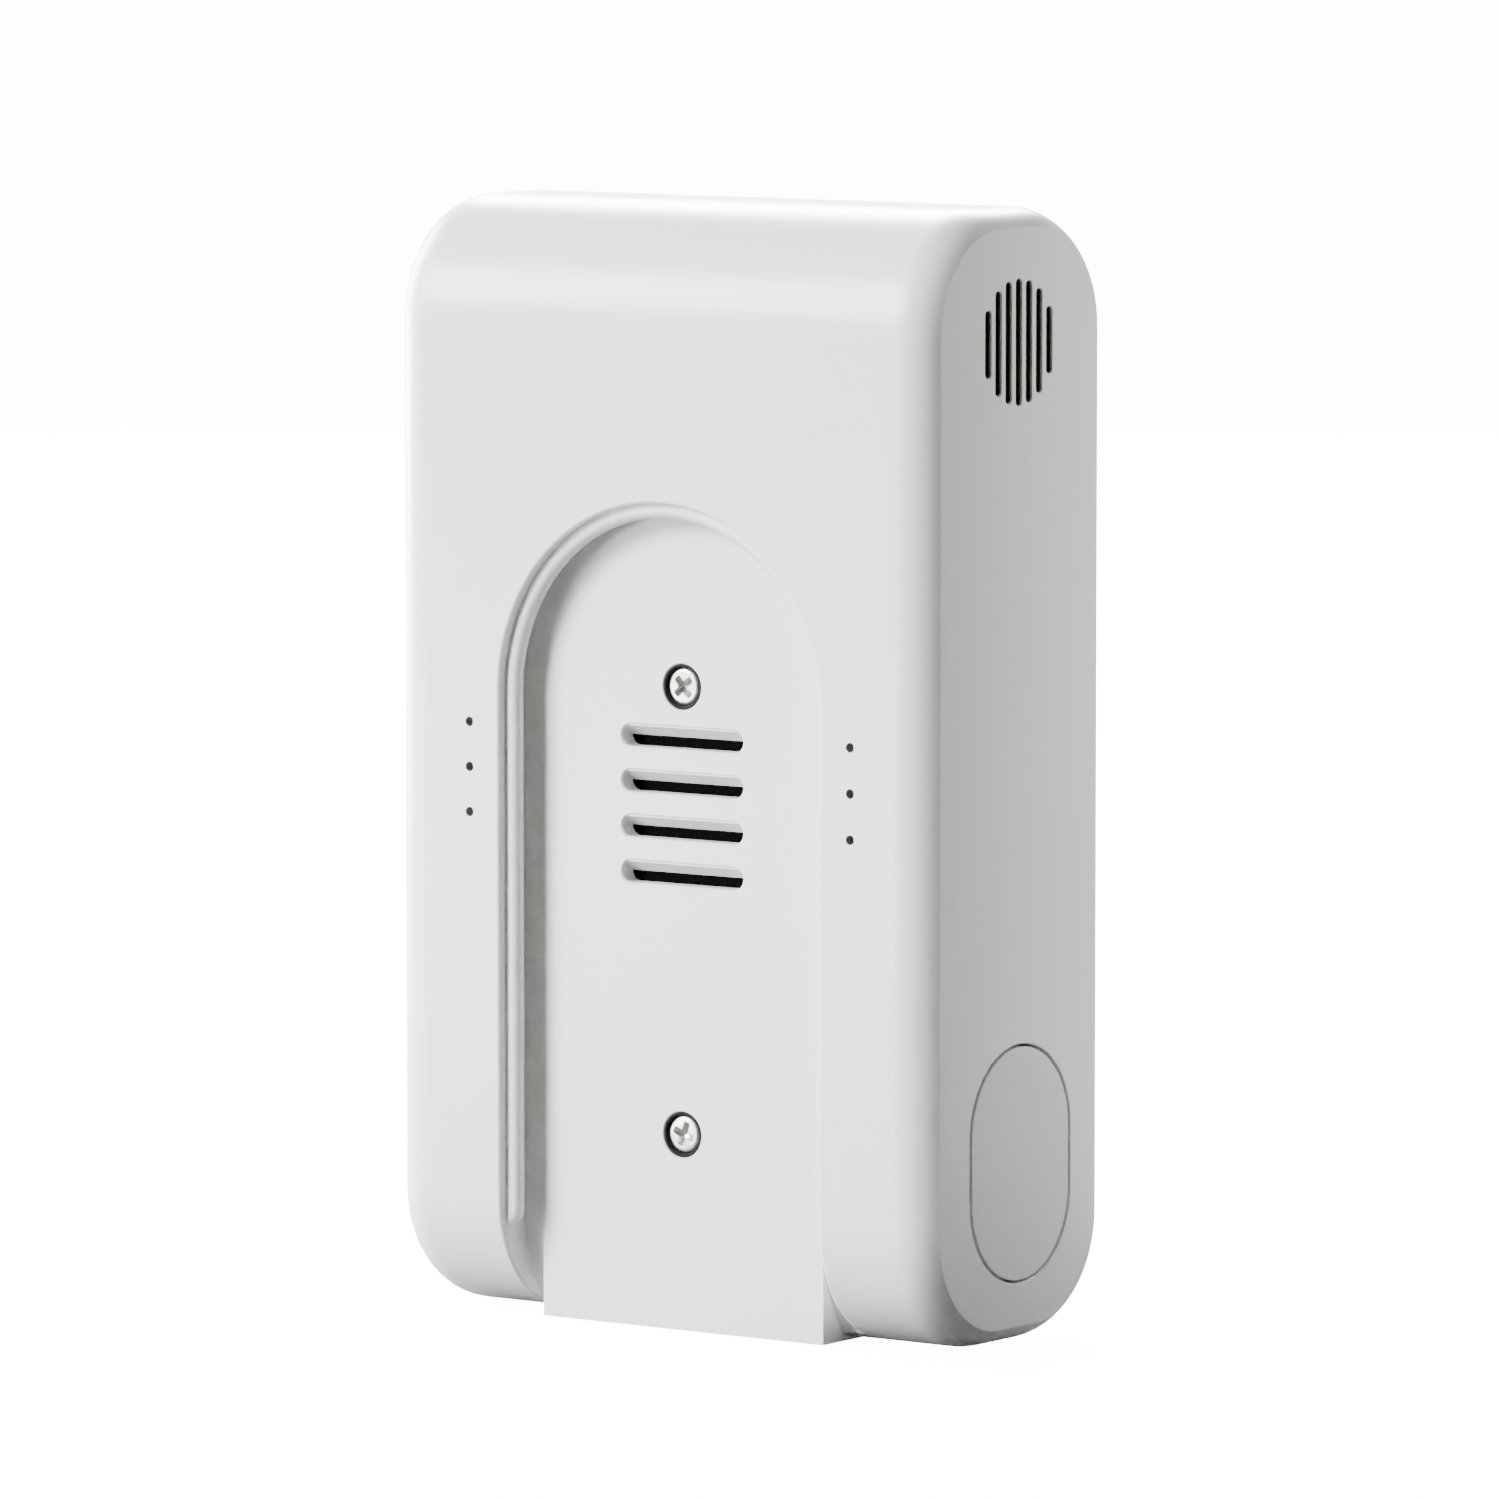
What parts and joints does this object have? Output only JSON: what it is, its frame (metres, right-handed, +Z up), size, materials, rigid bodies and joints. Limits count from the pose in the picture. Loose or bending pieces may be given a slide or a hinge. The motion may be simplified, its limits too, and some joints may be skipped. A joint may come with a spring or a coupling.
{
  "type": "video doorbell",
  "caption": "Upright video doorbell with an arched wall-side recess for its bracket, louvres, a side speaker grille, a flush side key, and a camera and bell button towards the visitor.",
  "frame": {"origin": "middle of the footprint, on the surface that the doorbell stands on", "axes": "+X towards the speaker grille and side key, -Y towards the wall, +Y towards the visitor, +Z up"},
  "size_m": [0.07, 0.033, 0.12],
  "materials": {
    "housing_white": "fine moulded satin, warm white",
    "key_white": "fine moulded satin, warm white",
    "panel_black": "polished black",
    "bezel_black": "polished black",
    "seal_rubber": "dull",
    "chassis_grey": "moulded, dull",
    "screw_nickel": "nickel plated",
    "screw_steel": "zinc plated",
    "pack_wrap": "shrink wrap",
    "foam_black": "soft foam",
    "board_green": "solder mask",
    "board_black": "solder mask",
    "antenna_black": "printed film",
    "tinned_steel": "tinned sheet",
    "chip_black": "moulded epoxy",
    "socket_ivory": "moulded nylon",
    "sensor_glass": "coated sensor glass",
    "holder_black": "moulded black",
    "barrel_black": "matt black",
    "lens_coated": "coated glass",
    "window_clear": "clear",
    "emitter_clear": "water clear",
    "pir_milky": "milky moulded",
    "can_metal": "plated can",
    "button_white": "satin white",
    "light_guide": "milky light guide",
    "spring_silicone": "silicone",
    "lamp_white": "lamp package",
    "mesh_black": "woven cloth",
    "cone_grey": "pressed paper",
    "magnet_grey": "plated magnet",
    "usb_steel": "plated shell"
  },
  "bodies": {
    "housing": {"rear_housing": "housing_white", "front_panel": "panel_black", "panel_seal": "seal_rubber", "chassis": "chassis_grey", "housing_screws": "screw_nickel", "board_screws": "screw_steel", "camera_screws": "screw_steel", "panel_screws": "screw_steel", "key_screws": "screw_steel", "battery_pack": "pack_wrap", "battery_tape": "foam_black", "main_board": "board_green", "shield_can": "tinned_steel", "board_chips": "chip_black", "board_sockets": "socket_ivory", "antenna": "antenna_black", "camera_board": "board_green", "image_sensor": "sensor_glass", "lens_holder": "holder_black", "lens_barrel": "barrel_black", "lens_glass": "lens_coated", "camera_bezel": "bezel_black", "camera_window": "window_clear", "emitter_board": "board_black", "emitters": "emitter_clear", "light_sensor": "chip_black", "pir_lens": "pir_milky", "pir_sensor": "can_metal", "microphone": "can_metal", "mic_boot": "seal_rubber", "button_ring": "light_guide", "bell_spring": "spring_silicone", "bell_switch": "chip_black", "ring_leds": "lamp_white", "key_spring": "spring_silicone", "key_switch": "chip_black", "key_board": "board_green", "speaker_mesh": "mesh_black", "speaker_gasket": "foam_black", "speaker_frame": "holder_black", "speaker_cone": "cone_grey", "speaker_magnet": "magnet_grey", "louvre_mesh": "mesh_black", "usb_socket": "usb_steel", "usb_board": "board_green", "screw_seals": "seal_rubber"},
    "bell_button": {"bell_button": "button_white"},
    "side_key": {"side_key": "key_white"}
  },
  "joints": [
    {"name": "bell_press", "type": "slide", "parent": "housing", "child": "bell_button", "axis": [0, -1, 0], "range_m": [0, 0.0008], "stiffness_N_per_m": 800, "springref_m": -0.0005, "deforming": ["bell_spring"]},
    {"name": "key_press", "type": "slide", "parent": "housing", "child": "side_key", "axis": [-1, 0, 0], "range_m": [0, 0.0008], "stiffness_N_per_m": 800, "springref_m": -0.0005, "deforming": ["key_spring"]}
  ]
}
